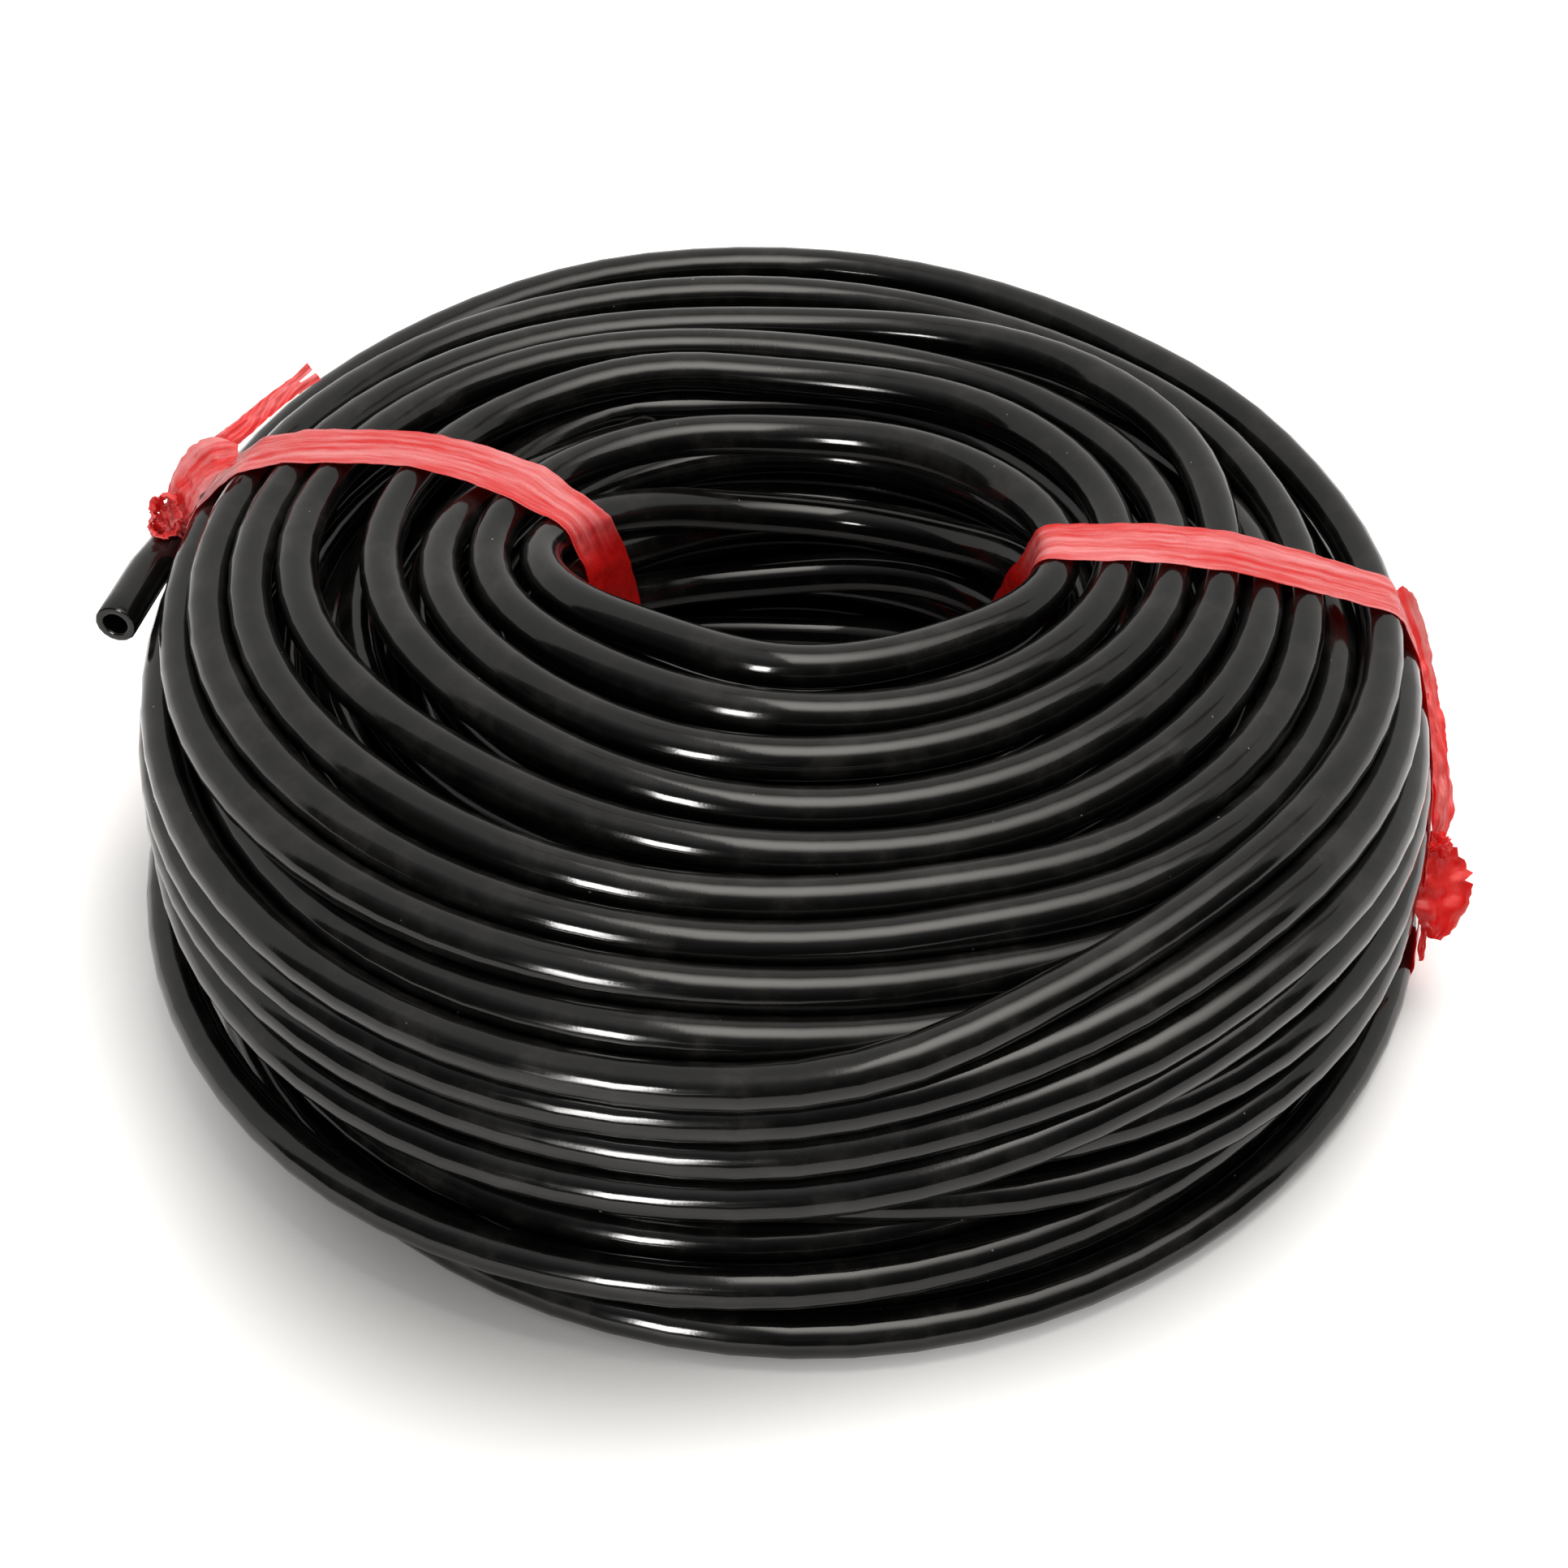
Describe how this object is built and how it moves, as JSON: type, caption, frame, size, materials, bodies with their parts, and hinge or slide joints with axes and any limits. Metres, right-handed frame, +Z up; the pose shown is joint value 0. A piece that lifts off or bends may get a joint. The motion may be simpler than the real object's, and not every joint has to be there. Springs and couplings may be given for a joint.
{
  "type": "coil of irrigation hose",
  "caption": "Coil of smooth black micro-irrigation hose, tied at both sides with knotted translucent red film, one cut end loose.",
  "frame": {"origin": "middle of the coil's whole footprint, on the surface that it lies on", "axes": "+Z up out of the lying coil, -Y to its front, where the loose end points, +X to its right, away from the loose end"},
  "size_m": [0.2272, 0.2198, 0.0751],
  "materials": {
    "tube": "smooth extruded flexible plastic, glossy near-black",
    "film": "crumpled translucent red film, glossy"
  },
  "bodies": {
    "root": {"hose_outer_turns": "tube", "hose_inner_turns": "tube", "hose_free_end": "tube", "left_tie": "film", "right_tie": "film"}
  },
  "joints": []
}
